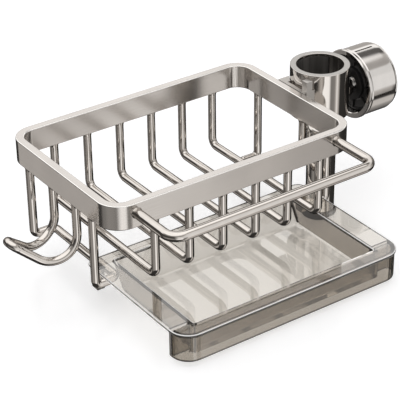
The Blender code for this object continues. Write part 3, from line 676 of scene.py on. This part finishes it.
def make_hook():
    low, high = box("double_hook")
    radius = WIRE_RADIUS
    x = high.x - radius
    middle = (low.y + high.y) / 2
    spread = high.y - low.y - 2 * radius
    low_z = RIM_HIGH.z - HOOK_STRAIGHT
    front, rear = (hook_arm(side, x, middle, low_z, spread) for side in (-1, 1))
    tip = (front[-1] + rear[-1]) / 2
    onward = Vector((-math.sin(HOOK_SWEEP), 0.0, -math.cos(HOOK_SWEEP))) * HOOK_TIP_RADIUS
    round_tip = []
    for i in range(1, HOOK_TIP_STEPS):
        angle = math.pi * i / HOOK_TIP_STEPS
        round_tip.append(tip - Y_AXIS * HOOK_TIP_RADIUS * math.cos(angle) + onward * math.sin(angle))
    make_wire("double_hook", front + round_tip + rear[::-1], radius, [Y_AXIS])


def make_brace():
    low, high = box("post_brace")
    radius = WIRE_RADIUS
    x = (low.x + high.x) / 2
    rear = high.y - radius
    bottom = low.z + radius
    bend = min(WIRE_BEND, (rear - low.y) * BRACE_BEND_SHARE)
    path = bent_path([(x, rear, WELD_TOP), (x, rear, bottom), (x, low.y, bottom)], bend)
    make_wire("post_brace", path, radius, None)


# The post and its foot

POST_LOW, POST_HIGH = box("post_tube")
POST_CENTRE = ((POST_LOW.x + POST_HIGH.x) / 2, (POST_LOW.y + POST_HIGH.y) / 2)
POST_RADIUS = (POST_HIGH.x - POST_LOW.x) / 2
POST_WALL = 1.2 * MM
POST_EDGE = 0.4 * MM
COLLAR_HEIGHT = 2.4 * MM
COLLAR_EDGE = 0.35 * MM
COLLAR_WELD = 0.4 * MM
COLLAR_WELD_HEIGHT = 0.8 * MM
PLUG_EDGE = 0.3 * MM
PLUG_GROOVE = 2.6 * MM
PLUG_GROOVE_HALF = 0.4 * MM
PLUG_GROOVE_DEPTH = 0.25 * MM
STUD_HOLE = 3.3 * MM
STUD_PITCH = 1.0 * MM
STUD_THREAD = 0.45 * MM
FOOT_EDGE = 0.25 * MM
FOOT_SLANT = 0.3
FOOT_SOLE = 1.2 * MM
FOOT_MIDDLE_HOLE = 1.0 * MM
FOOT_RIM = 2.2 * MM
FOOT_GROOVE = 0.35 * MM
FOOT_GROOVE_WIDTH = 1.6 * MM
FOOT_GROOVE_SLANT = 0.4 * MM


def make_post():
    top, bottom = POST_HIGH.z, POST_LOW.z
    inside = POST_RADIUS - POST_WALL
    profile = soften(
        [(POST_RADIUS, top), (POST_RADIUS, bottom), (inside, bottom), (inside, top)], POST_EDGE)
    skin_piece("post_tube_chrome", lathe_z(POST_CENTRE, profile), POST_CHROME, "basket",
               "post_tube", loop=True)

    low, high = box("post_collar")
    collar = (high.x - low.x) / 2
    core = collar * 0.1
    spigot = inside - SEAT_GAP
    step = high.z - COLLAR_HEIGHT
    profile = soften([
        (core, WELD_TOP), (collar - 3 * COLLAR_WELD, WELD_TOP), (collar - COLLAR_WELD, high.z),
        (collar, high.z - COLLAR_WELD_HEIGHT), (collar, step), (spigot, step), (spigot, low.z),
        (core, low.z)], COLLAR_EDGE, closed=False)
    skin_piece("post_collar_welded", lathe_z(POST_CENTRE, profile), POST_CHROME, "basket",
               "post_collar")

    low, high = box("post_insert")
    outer = (high.x - low.x) / 2
    groove = low.z + PLUG_GROOVE
    profile = soften([
        (outer, high.z), (outer, groove + PLUG_GROOVE_HALF), (outer - PLUG_GROOVE_DEPTH, groove),
        (outer, groove - PLUG_GROOVE_HALF), (outer, low.z), (STUD_HOLE, low.z), (STUD_HOLE, high.z)],
        PLUG_EDGE)
    skin_piece("post_insert_plug", lathe_z(POST_CENTRE, profile, sides=64), PLUG_BLACK, "basket",
               "post_insert", loop=True)


def make_foot():
    low, high = box("foot_stud")
    rings = threaded(POST_CENTRE, low.z, high.z, (high.x - low.x) / 2, STUD_PITCH, STUD_THREAD)
    skin_piece("foot_stud_threaded", rings, SCREW_STEEL, "stud", "foot_stud", angle=50.0)

    low, high = box("foot_pad")
    outer = (high.x - low.x) / 2
    slant = FOOT_SLANT * (high.z - low.z)
    groove = low.z + FOOT_GROOVE
    groove_start = outer - FOOT_RIM
    groove_end = groove_start - FOOT_GROOVE_WIDTH
    sole = low.z + FOOT_SOLE
    profile = soften([
        (STUD_HOLE, high.z), (outer - slant, high.z), (outer, high.z - slant), (outer, groove),
        (outer - FOOT_GROOVE_SLANT, low.z), (groove_start, low.z),
        (groove_start - FOOT_GROOVE_SLANT, groove), (groove_end + FOOT_GROOVE_SLANT, groove),
        (groove_end, low.z), (FOOT_MIDDLE_HOLE, low.z), (FOOT_MIDDLE_HOLE, sole), (STUD_HOLE, sole)],
        FOOT_EDGE)
    skin_piece("foot_pad_grooved", lathe_z(POST_CENTRE, profile, sides=80), RUBBER, "foot",
               "foot_pad", loop=True)


# The clamp

RING_HIGH = box("clamp_ring")[1]
BORE_RADIUS = 14.5 * MM
RING_RADIUS = 18.3 * MM
RING_EDGE = 0.45 * MM
LINER_THICKNESS = 1.2 * MM
LINER_LIP = 1.8 * MM
BOSS_RADIUS = 7.6 * MM
BOSS_EDGE = 0.4 * MM
BOSS_FLARE = 1.2 * MM
BOSS_FLARE_END = RING_RADIUS + 0.6 * MM
BUSH_HOLE = 6.0 * MM
BUSH_WALL = 1.4 * MM
BUSH_EDGE = 0.3 * MM
BRACKET_PLATE = 2.6 * MM
TONGUE_WIDTH = 12.0 * MM
TONGUE_STEP = 1.5 * MM
TONGUE_EDGE = 0.4 * MM
KNOB_LOW, KNOB_HIGH = box("knob_shell")
KNOB_Z = (KNOB_LOW.z + KNOB_HIGH.z) / 2
KNOB_LIP = 0.6 * MM
KNOB_WALL = 3.0 * MM
KNOB_EDGE = 0.5 * MM
KNOB_ROUNDING = 0.25 * MM
KNOB_GROOVE_DEPTH = 0.45 * MM
# Ends of the knob's lip, slope, groove and second slope, from its inner end.
LIP_END, GROOVE_START, GROOVE_END, BODY_START = (length * MM for length in (1.6, 2.4, 2.9, 3.5))
# The knob's rounded outer end, as distances from the end and depths below the surface, in mm.
KNOB_NOSE = ((1.2, 0.0), (0.6, 0.15), (0.15, 0.45), (0.0, 0.8))
SLOTS = 4
SLOT_TURN = math.radians(94.5)
SLOT_START = KNOB_LOW.x + 4.0 * MM
SLOT_END = SLOT_START + 13.5 * MM
SLOT_WIDTH = 1.3 * MM
SLOT_DEPTH = 1.0 * MM
SLOT_SHOULDER = 1.35
SLOT_FLOOR = 0.92
# Share of a slot's depth below which its faces take the painted shade.
SLOT_SHADE_SHARE = 0.7
SLOT_LIP = 0.02 * MM
SLOT_EDGE = 0.08 * MM
COLUMNS_BETWEEN_SLOTS = 24
# The cap's rim, as insets and distances from its seat, and its dished face, as shares of its radius
# and depths below its ridge. Lengths are in mm.
CAP_RIM = ((0.2, 0.0), (0.0, 0.3), (0.15, 0.8))
CAP_SHOULDER = (0.93, 1.2 * MM)
CAP_FACE = ((0.84, 0.1), (0.78, 0.0), (0.74, 0.1), (0.70, 0.35), (0.4, 0.15))
CAP_MIDDLE_DEPTH = 0.05 * MM
HUB_RADIUS = 10.5 * MM
CORE_EDGE = 0.3 * MM
CORE_FACE = 2.4 * MM
CORE_SEAT = 1.2 * MM
CORE_RIM = 1.2 * MM
CORE_DISH = 0.8 * MM
CORE_RIBS = 8
RIB_SIZE = (1.6 * MM, 1.2 * MM)
RIB_DEPTH = 0.7 * MM
RIB_GAP = 0.5 * MM
SCREW_HOLE = 4.3 * MM
SCREW_PITCH = 1.25 * MM
SCREW_THREAD = 0.5 * MM
RIVET_RADIUS = 2.0 * MM
RIVET_HEAD = 3.0 * MM
RIVET_HEAD_HEIGHT = 0.6 * MM
RIVET_ROUNDING = 0.2 * MM
RIVET_SINK = 0.2 * MM
NUT_ACROSS_FLATS = 13.0 * MM
NUT_CORNER = 1.2
NUT_TURNED_OFF = 0.93
NUT_CHAMFER = 0.5 * MM
NUT_SIDES = 48


def lay_along_x(rings):
    """Turns rings round Z into rings round the knob's axis, heights becoming distances along +X."""
    return [[Vector((point.z, point.x, point.y + KNOB_Z)) for point in ring] for ring in rings]


def round_knob_axis(profile, sides=96):
    """Rings of a shape turned about the knob's axis from (radius, x) points."""
    return lay_along_x(lathe_z((0.0, 0.0), profile, sides))


def make_ring():
    half = RING_HIGH.z
    groove = half - LINER_LIP
    groove_radius = BORE_RADIUS + LINER_THICKNESS
    shape = bmesh.new()
    profile = soften([
        (RING_RADIUS, half), (RING_RADIUS, -half), (BORE_RADIUS, -half), (BORE_RADIUS, -groove),
        (groove_radius, -groove), (groove_radius, groove), (BORE_RADIUS, groove), (BORE_RADIUS, half)],
        RING_EDGE)
    add_skin(shape, lathe_z((0.0, 0.0), profile, sides=144), loop=True)
    end = RING_HIGH.x
    wall = (RING_RADIUS + groove_radius) / 2
    profile = soften([
        (BOSS_RADIUS + BOSS_FLARE, wall), (BOSS_RADIUS, BOSS_FLARE_END), (BOSS_RADIUS, end),
        (BUSH_HOLE, end), (BUSH_HOLE, wall)], BOSS_EDGE)
    add_skin(shape, round_knob_axis(profile, sides=72), loop=True)
    bracket = box("clamp_bracket")[0]
    step = BRACKET_PLATE + SEAT_GAP
    add_block(shape, (bracket.x + step, -TONGUE_WIDTH / 2, bracket.z + step),
              (-wall, TONGUE_WIDTH / 2, RIM_HIGH.z - TONGUE_STEP), TONGUE_EDGE)
    ring = piece("clamp_ring_chrome", to_mesh("clamp_ring_chrome", shape), RING_CHROME,
                 "basket", "clamp_ring")
    ring.data.materials.append(RING_END_SHADE)
    # Painted shade: the ring's flat end faces take the darker metal.
    level = 0.95
    at_end = half - 0.1 * MM
    for face in ring.data.polygons:
        if abs(face.normal.z) > level and abs(face.center.z) > at_end:
            face.material_index = 1


def knob_columns(slot_half):
    """Angles of the knob's columns, each with True where it lies in a slot."""
    columns = []
    shoulder = slot_half * SLOT_SHOULDER
    floor = slot_half * SLOT_FLOOR
    for number in range(SLOTS):
        middle = SLOT_TURN + math.tau * number / SLOTS
        columns += [(middle - shoulder, False), (middle - slot_half, False), (middle - floor, True),
                    (middle + floor, True), (middle + slot_half, False), (middle + shoulder, False)]
        start = middle + shoulder
        end = middle + math.tau / SLOTS - shoulder
        for step in range(1, COLUMNS_BETWEEN_SLOTS):
            columns.append((start + (end - start) * step / COLUMNS_BETWEEN_SLOTS, False))
    return columns


def make_knob_shell():
    low = KNOB_LOW.x
    high = KNOB_HIGH.x
    lip = (KNOB_HIGH.z - KNOB_LOW.z) / 2
    radius = lip - KNOB_LIP
    inside = radius - KNOB_WALL
    between = (inside + radius) / 2
    waist = radius - KNOB_GROOVE_DEPTH
    lip_side = soften([
        (lip - KNOB_EDGE, low), (lip, low + KNOB_EDGE), (lip, low + LIP_END), (waist, low + GROOVE_START),
        (waist, low + GROOVE_END), (radius, low + BODY_START)], KNOB_ROUNDING, steps=3, closed=False)
    slot_rows = [(radius, x) for x in (
        SLOT_START - SLOT_LIP, SLOT_START, SLOT_START + SLOT_EDGE,
        SLOT_END - SLOT_EDGE, SLOT_END, SLOT_END + SLOT_LIP)]
    nose = [(radius - depth * MM, high - back * MM) for back, depth in KNOB_NOSE]
    inner = [(inside, high), (inside, low + KNOB_EDGE), (inside + KNOB_EDGE, low)]
    columns = knob_columns(math.asin(SLOT_WIDTH / 2 / radius))
    rings = []
    for r, x in lip_side + slot_rows + nose + inner:
        ring = []
        slotted = SLOT_START < x < SLOT_END and r > between
        for angle, cut in columns:
            reach = r - SLOT_DEPTH if cut and slotted else r
            ring.append(Vector((x, reach * math.cos(angle), KNOB_Z + reach * math.sin(angle))))
        rings.append(ring)
    shell = skin_piece("knob_shell_chrome", rings, KNOB_CHROME, "knob", "knob_shell",
                       loop=True, angle=28.0)
    # Painted shade: the slots' floors and deep walls take the dark material.
    shell.data.materials.append(SLOT_PAINTED_SHADE)
    floor = radius - SLOT_DEPTH * SLOT_SHADE_SHARE
    for face in shell.data.polygons:
        middle = face.center
        reach = math.hypot(middle.y, middle.z - KNOB_Z)
        if SLOT_START < middle.x < SLOT_END and between < reach < floor:
            face.material_index = 1


def make_knob_cap():
    low, high = box("knob_cap")
    rim = (high.z - low.z) / 2
    middle = 0.4 * MM
    share, height = CAP_SHOULDER
    profile = [(middle, low.x)]
    profile += [(rim - inset * MM, low.x + up * MM) for inset, up in CAP_RIM]
    profile.append((rim * share, low.x + height))
    profile += [(rim * share, high.x - down * MM) for share, down in CAP_FACE]
    profile.append((middle, high.x - CAP_MIDDLE_DEPTH))
    skin_piece("knob_cap_dished", round_knob_axis(profile), KNOB_CHROME, "knob", "knob_cap")


def make_knob_core():
    low, high = box("knob_core")
    outer = (high.z - low.z) / 2
    face = low.x + CORE_FACE
    dish = face + CORE_DISH
    seat = low.x + CORE_SEAT
    slope = 0.4 * MM
    shape = bmesh.new()
    profile = soften([
        (outer, high.x), (outer, face), (outer - CORE_RIM, face), (outer - CORE_RIM - slope, dish),
        (HUB_RADIUS + CORE_RIM, dish), (HUB_RADIUS, face), (HUB_RADIUS, low.x),
        (SCREW_HOLE + CORE_RIM + slope, low.x), (SCREW_HOLE + CORE_RIM, seat), (SCREW_HOLE, seat),
        (SCREW_HOLE, high.x)], CORE_EDGE, steps=3)
    add_skin(shape, round_knob_axis(profile), loop=True)
    depth, width = RIB_SIZE
    size = Matrix.Diagonal((depth, outer - HUB_RADIUS - 2 * RIB_GAP, width, 1.0))
    middle = Matrix.Translation((face + RIB_DEPTH, (outer + HUB_RADIUS) / 2, 0.0))
    for number in range(CORE_RIBS):
        rib = bmesh.new()
        turn = Matrix.Rotation(math.tau * number / CORE_RIBS, 4, "X")
        bmesh.ops.create_cube(
            rib, size=1.0, matrix=Matrix.Translation((0, 0, KNOB_Z)) @ turn @ middle @ size)
        take_in(shape, rib)
    piece("knob_core_ribbed", to_mesh("knob_core_ribbed", shape), KNOB_BLACK,
          "knob", "knob_core")


def make_screw():
    low, high = box("clamp_screw")
    shoulder = box("clamp_shoe")[1].x + SEAT_GAP
    shape = bmesh.new()
    thread = threaded((0.0, 0.0), shoulder, high.x, (high.z - low.z) / 2, SCREW_PITCH, SCREW_THREAD)
    add_skin(shape, lay_along_x(thread))
    middle = 0.3 * MM
    head = low.x + RIVET_HEAD_HEIGHT
    end = shoulder + RIVET_SINK
    profile = [
        (middle, low.x), (RIVET_HEAD - 4 * RIVET_ROUNDING, low.x),
        (RIVET_HEAD - RIVET_ROUNDING, low.x + RIVET_ROUNDING),
        (RIVET_HEAD, head), (RIVET_RADIUS, head), (RIVET_RADIUS, end), (middle, end)]
    add_skin(shape, round_knob_axis(profile, sides=48))
    piece("clamp_screw_threaded", to_mesh("clamp_screw_threaded", shape), SCREW_STEEL,
          "knob", "clamp_screw", angle=50.0)


def make_nut():
    """A hexagon whose corners are turned off towards both faces."""
    low, high = box("knob_nut")
    corner = (high.z - low.z) / 2 * NUT_CORNER
    rings = []
    for x, share in ((low.x, NUT_TURNED_OFF), (low.x + NUT_CHAMFER, 1.0), (high.x - NUT_CHAMFER, 1.0),
                     (high.x, NUT_TURNED_OFF), (high.x, None), (low.x, None)):
        ring = []
        for i in range(NUT_SIDES):
            angle = math.tau * i / NUT_SIDES
            sector = (angle + math.pi / 6) % (math.pi / 3) - math.pi / 6
            flat = NUT_ACROSS_FLATS / 2 / math.cos(sector)
            size = min(flat, corner * share) if share else SCREW_HOLE
            ring.append(Vector((x, size * math.sin(angle), KNOB_Z + size * math.cos(angle))))
        rings.append(ring)
    skin_piece("knob_nut_hexagon", rings, SCREW_STEEL, "knob", "knob_nut", loop=True)


def make_bush():
    low, high = box("screw_bush")
    outer = (high.z - low.z) / 2
    bore = outer - BUSH_WALL
    profile = soften([(outer, high.x), (outer, low.x), (bore, low.x), (bore, high.x)], BUSH_EDGE)
    skin_piece("screw_bush_brass", round_knob_axis(profile, sides=64), BRASS, "basket",
               "screw_bush", loop=True)


def finish_node(name, material, edge):
    """Gives a CAD node its material and softens its sharp edges."""
    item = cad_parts[name]
    item.data.materials.clear()
    item.data.materials.append(material)
    weld = item.modifiers.new("weld", "WELD")
    weld.merge_threshold = 0.005 * MM
    flat = item.modifiers.new("flat", "DECIMATE")
    flat.decimate_type = "DISSOLVE"
    flat.angle_limit = math.radians(0.5)
    bevel = item.modifiers.new("edges", "BEVEL")
    bevel.width = edge
    bevel.segments = 3
    bevel.limit_method = "ANGLE"
    bevel.angle_limit = math.radians(SHARP_ANGLE)
    bevel.harden_normals = True
    return item


def finish_tray():
    """Smoke plastic with painted highlight and shade on its edges, which light passes and the metal
    doesn't mirror.
    """
    tray = finish_node("drip_tray", SMOKE, edge=0.65 * MM)
    tray.data.materials.append(SMOKE_EDGE_LIGHT_AND_SHADE)
    # The bevelled edges take the painted highlight and shade.
    tray.modifiers["edges"].material = 1
    tray.modifiers["edges"].use_clamp_overlap = False
    tray.modifiers.remove(tray.modifiers["flat"])
    tray.visible_shadow = False
    tray.visible_glossy = False


make_rim()
make_basket_wires()
make_rails()
make_towel_bar()
make_hook()
make_brace()
make_post()
make_foot()
make_ring()
make_knob_shell()
make_knob_cap()
make_knob_core()
make_screw()
make_nut()
make_bush()
finish_node("clamp_bracket", ZINC, edge=0.35 * MM)
finish_node("clamp_shoe", ZINC, edge=0.2 * MM)
finish_node("shoe_pad", RUBBER, edge=0.2 * MM)
finish_node("bore_liner", LINER_DARK, edge=0.15 * MM)
finish_tray()


# Studio

# What polished metal mirrors, from below to overhead: the elevations over which each layer takes the
# place of the one below it, and its brightness at degrees round the studio from +X.
SURROUND = (
    (None, (
        (0, 0.35), (40, 0.04), (280, 0.04), (300, 0.60), (345, 0.62), (360, 0.35))),
    ((-44, -39), (
        (0, 0.03), (109, 0.03), (114, 0.56), (127, 0.54), (132, 0.05), (152, 0.06), (160, 0.24),
        (172, 0.26), (186, 0.34), (212, 0.32), (226, 0.26), (238, 0.90), (246, 1.20), (268, 1.15),
        (276, 0.24), (291, 0.28), (298, 0.62), (302, 1.05), (306, 0.72), (311, 0.46), (316, 0.04),
        (360, 0.03))),
    ((-20, -12), (
        (0, 0.12), (30, 0.45), (94, 0.50), (106, 0.08), (140, 0.06), (222, 0.08), (245, 0.80),
        (320, 0.90), (340, 0.50), (360, 0.12))),
    ((17, 24), (
        (0, 0.80), (30, 1.20), (140, 1.15), (160, 0.30), (270, 0.28), (292, 0.80), (360, 0.80))),
    ((36, 41), (
        (0, 0.60), (14, 0.12), (56, 0.15), (72, 1.20), (200, 1.30), (290, 0.50), (330, 0.42),
        (360, 0.60))),
    ((50, 56), (
        (0, 1.3), (360, 1.3))))
BRIGHT = 0.8
WARMTH_OF_BRIGHT = 0.02
WARMTH_OF_DIM = 0.05
WHITE = (1.0, 1.0, 1.0, 1.0)
FLOOR_GAP = 0.1 * MM
MIDDLE = (-0.1, -0.02, 0.0)


def node_of(tree, kind, **values):
    node = tree.nodes.new(kind)
    for name, value in values.items():
        setattr(node, name, value)
    return node


def seen_directly(tree, *outputs):
    """1 where a ray comes from the camera or in one of the other named ways."""
    path = node_of(tree, "ShaderNodeLightPath")
    value = path.outputs["Is Camera Ray"]
    for output in outputs:
        largest = node_of(tree, "ShaderNodeMath", operation="MAXIMUM")
        tree.links.new(value, largest.inputs[0])
        tree.links.new(path.outputs[output], largest.inputs[1])
        value = largest.outputs[0]
    return value


def band(tree, azimuth, stops):
    """A ramp of warm greys round the studio."""
    ramp = node_of(tree, "ShaderNodeValToRGB")
    ends = list(ramp.color_ramp.elements)
    for number, (degrees, level) in enumerate(stops):
        place = degrees / 360
        stop = ends[number] if number < 2 else ramp.color_ramp.elements.new(place)
        stop.position = place
        warmth = WARMTH_OF_BRIGHT if level >= BRIGHT else WARMTH_OF_DIM
        stop.color = (level, level * (1 - warmth), level * (1 - 2 * warmth), 1.0)
    tree.links.new(azimuth, ramp.inputs["Fac"])
    return ramp.outputs["Color"]


def studio_surround(tree):
    """Light panels and dark gaps by direction in the studio."""
    place = node_of(tree, "ShaderNodeTexCoord")
    axes = node_of(tree, "ShaderNodeSeparateXYZ")
    tree.links.new(place.outputs["Generated"], axes.inputs[0])
    angle = node_of(tree, "ShaderNodeMath", operation="ARCTAN2")
    tree.links.new(axes.outputs["Y"], angle.inputs[0])
    tree.links.new(axes.outputs["X"], angle.inputs[1])
    turns = node_of(tree, "ShaderNodeMath", operation="DIVIDE")
    turns.inputs[1].default_value = math.tau
    tree.links.new(angle.outputs[0], turns.inputs[0])
    azimuth = node_of(tree, "ShaderNodeMath", operation="FRACT")
    tree.links.new(turns.outputs[0], azimuth.inputs[0])
    height = node_of(tree, "ShaderNodeMath", operation="ARCSINE")
    tree.links.new(axes.outputs["Z"], height.inputs[0])
    below = None
    for between, stops in SURROUND:
        colour = band(tree, azimuth.outputs[0], stops)
        if between is None:
            below = colour
            continue
        step = node_of(tree, "ShaderNodeMapRange", interpolation_type="SMOOTHSTEP")
        step.inputs["From Min"].default_value = math.radians(between[0])
        step.inputs["From Max"].default_value = math.radians(between[1])
        tree.links.new(height.outputs[0], step.inputs["Value"])
        below = mixed(tree, step.outputs["Result"], below, colour)
    return below


def shader_mix(tree, factor, first, second):
    mix = node_of(tree, "ShaderNodeMixShader")
    tree.links.new(factor, mix.inputs["Fac"])
    tree.links.new(first, mix.inputs[1])
    tree.links.new(second, mix.inputs[2])
    return mix.outputs[0]


def make_world():
    """Soft light for the object, white for the camera, and the surround for mirrored rays."""
    world = bpy.data.worlds.new("studio")
    world.use_nodes = True
    bpy.context.scene.world = world
    tree = world.node_tree
    light = tree.nodes["Background"]
    light.inputs["Color"].default_value = (0.93, 0.93, 0.95, 1.0)
    light.inputs["Strength"].default_value = 0.5
    mirrored = node_of(tree, "ShaderNodeBackground")
    tree.links.new(studio_surround(tree), mirrored.inputs["Color"])
    white = node_of(tree, "ShaderNodeBackground")
    white.inputs["Color"].default_value = WHITE
    path = node_of(tree, "ShaderNodeLightPath")
    unseen = shader_mix(tree, path.outputs["Is Glossy Ray"], light.outputs[0], mirrored.outputs[0])
    surface = shader_mix(tree, seen_directly(tree, "Is Transmission Ray"), unseen, white.outputs[0])
    tree.links.new(surface, tree.nodes["World Output"].inputs["Surface"])


def make_floor():
    material = bpy.data.materials.new("floor_pale")
    material.use_nodes = True
    tree = material.node_tree
    shader = tree.nodes["Principled BSDF"]
    shader.inputs["Base Color"].default_value = (0.80, 0.80, 0.80, 1.0)
    shader.inputs["Roughness"].default_value = 0.22
    glow = node_of(tree, "ShaderNodeEmission")
    glow.inputs["Strength"].default_value = 0.44
    off = node_of(tree, "ShaderNodeEmission")
    off.inputs["Strength"].default_value = 0.0
    seen = seen_directly(tree, "Is Glossy Ray", "Is Transmission Ray")
    add = node_of(tree, "ShaderNodeAddShader")
    tree.links.new(shader.outputs[0], add.inputs[0])
    tree.links.new(shader_mix(tree, seen, off.outputs[0], glow.outputs[0]), add.inputs[1])
    tree.links.new(add.outputs[0], tree.nodes["Material Output"].inputs["Surface"])
    mesh = bpy.data.meshes.new("floor")
    shape = bmesh.new()
    bmesh.ops.create_grid(shape, x_segments=1, y_segments=1, size=4.0)
    shape.to_mesh(mesh)
    shape.free()
    mesh.materials.append(material)
    floor = bpy.data.objects.new("floor", mesh)
    floor.location = (0.0, 0.0, CAD_BOX[0].z - FLOOR_GAP)
    floor.visible_glossy = False
    bpy.context.scene.collection.objects.link(floor)


def area_light(name, location, size, power):
    """A lamp that faces the object's middle and that metal doesn't mirror."""
    data = bpy.data.lights.new(name, "AREA")
    data.shape = "RECTANGLE"
    data.size, data.size_y = size
    data.energy = power
    lamp = bpy.data.objects.new(name, data)
    lamp.location = location
    lamp.visible_glossy = False
    lamp.rotation_mode = "QUATERNION"
    lamp.rotation_quaternion = (Vector(MIDDLE) - Vector(location)).to_track_quat("-Z", "Y")
    bpy.context.scene.collection.objects.link(lamp)


def make_camera():
    """The photograph's camera, solved from the rim's edges: its place, axes and focal length."""
    picture = 400
    focal_pixels = 1618.2
    place = (-0.5686, -0.6902, 0.4375)
    right = Vector((0.8178, -0.5754, -0.0119))
    up = Vector((0.2968, 0.4040, 0.8652))
    back = Vector((-0.4930, -0.7111, 0.5012))
    data = bpy.data.cameras.new("camera")
    data.sensor_width = 36.0
    data.lens = data.sensor_width * focal_pixels / picture
    data.clip_end = 20.0
    camera = bpy.data.objects.new("camera", data)
    camera.matrix_world = Matrix.Translation(place) @ Matrix((right, up, back)).transposed().to_4x4()
    bpy.context.scene.collection.objects.link(camera)
    bpy.context.scene.camera = camera


make_world()
make_floor()
area_light("overhead", location=(-0.1, 0.0, 1.1), size=(1.6, 1.4), power=5.0)
area_light("left_front", location=(-1.1, -0.5, 0.9), size=(1.2, 1.2), power=2.6)
area_light("rear", location=(0.3, 1.2, 1.0), size=(1.8, 1.4), power=1.2)
make_camera()
bpy.context.scene.view_settings.view_transform = "Standard"
